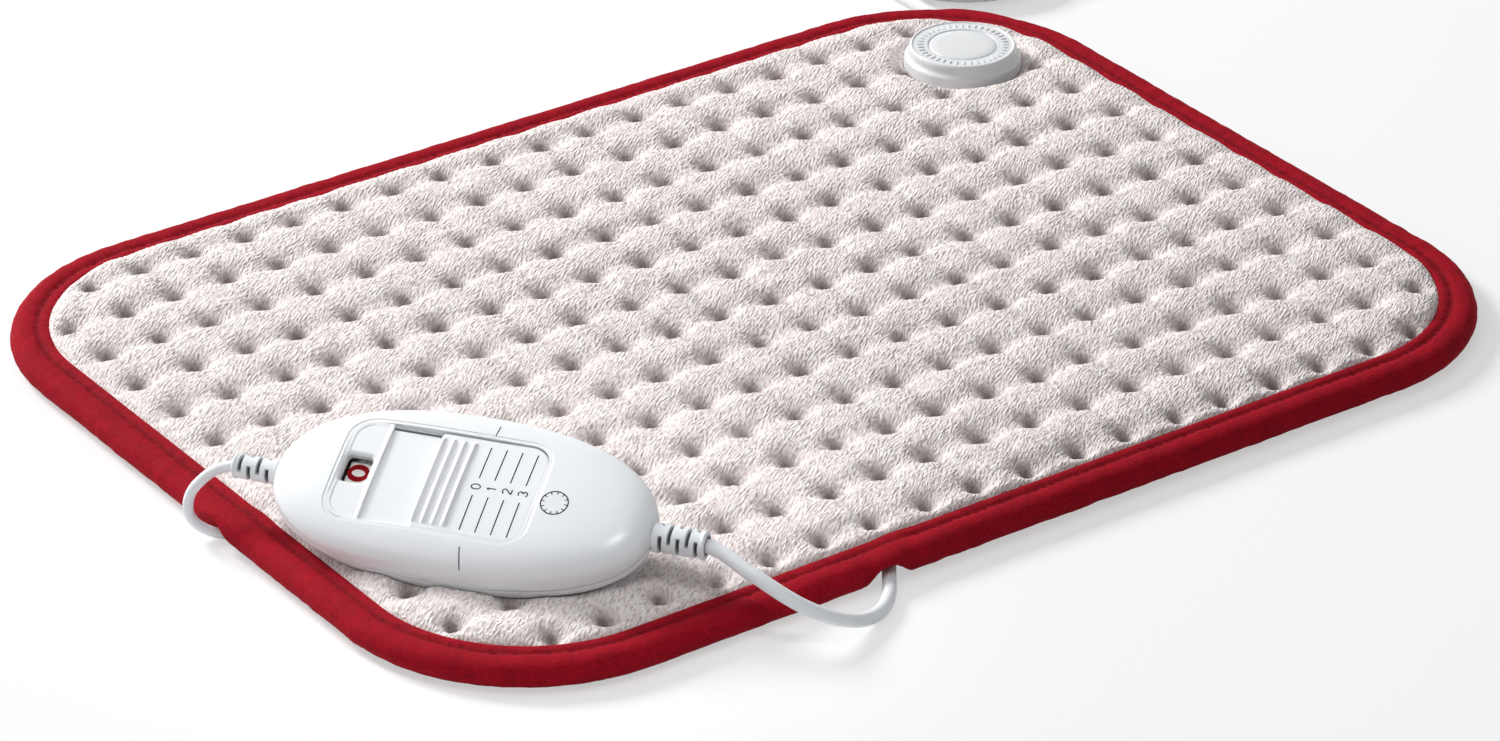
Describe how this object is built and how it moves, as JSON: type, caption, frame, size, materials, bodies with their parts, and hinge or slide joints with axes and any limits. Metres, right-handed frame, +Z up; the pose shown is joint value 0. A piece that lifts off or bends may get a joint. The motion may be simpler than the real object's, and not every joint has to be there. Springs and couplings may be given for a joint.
{
  "type": "heating pad with controller",
  "caption": "Flat rounded heating pad of tufted fleece with a bound edge, a round corner connector and an oval slide controller lying on it, wired to a coiled mains lead.",
  "frame": {"origin": "on the table under the middle of the pad", "axes": "+X along the pad's long side towards the round connector, +Y along its short side away from the controller's mains end, +Z up"},
  "size_m": [0.4975, 0.4736, 0.0455],
  "materials": {
    "fleece": "short-nap tufted fleece",
    "tape": "velour binding tape",
    "lining": "woven lining",
    "carrier": "non-woven",
    "wire": "insulated heating wire",
    "housing": "white, softly glossy",
    "cord": "white flexible cord",
    "number": "pale, with printed figures",
    "board": "circuit board",
    "dark": "dark plastic",
    "steel": "plated steel",
    "brass": "brass",
    "nylon": "natural nylon"
  },
  "bodies": {
    "body": {"edge_binding": "tape", "pad_back_cover": "lining", "heater_carrier": "carrier", "heating_wire": "wire", "pad_top_cover": "fleece", "disc_upper_shell": "housing", "disc_lower_shell": "housing", "disc_cord_boot": "cord", "disc_terminal_block": "nylon", "disc_thermal_fuse": "steel", "disc_screw_1": "steel", "disc_screw_2": "steel", "disc_screw_3": "steel", "controller_top_shell": "housing", "controller_bottom_shell": "housing", "shell_screw_1": "steel", "shell_screw_2": "steel", "shell_screw_3": "steel", "shell_screw_4": "steel", "detent_spring": "steel", "circuit_board": "board", "mains_fuse": "steel", "capacitor": "dark", "pad_terminal_block": "nylon", "mains_terminal_block": "nylon", "pad_cord_boot": "cord", "mains_cord_boot": "cord", "pad_cord_clamp": "nylon", "mains_cord_clamp": "nylon", "pad_cord": "cord", "mains_cord": "cord", "mains_coil": "cord", "coil_tie": "dark", "plug_body": "cord", "plug_pin_1": "brass", "plug_pin_2": "brass"},
    "slider": {"slider_cap": "housing", "slider_carriage": "nylon", "contact_bridge": "brass"},
    "drum": {"number_drum": "number"}
  },
  "joints": [
    {"name": "slider_slide", "type": "slide", "parent": "body", "child": "slider", "axis": [-0.5878, 0.809, 0], "range_m": [0, 0.0156]},
    {"name": "drum_spin", "type": "hinge", "parent": "body", "child": "drum", "pos_m": [-0.18775, -0.05545, 0.02832], "axis": [0.7391, 0.537, 0.4067], "range_deg": [0, 270.05]}
  ],
  "couplings": [
    {"joint": "drum_spin", "follows": "slider_slide", "rad_per_m": 302.08}
  ]
}
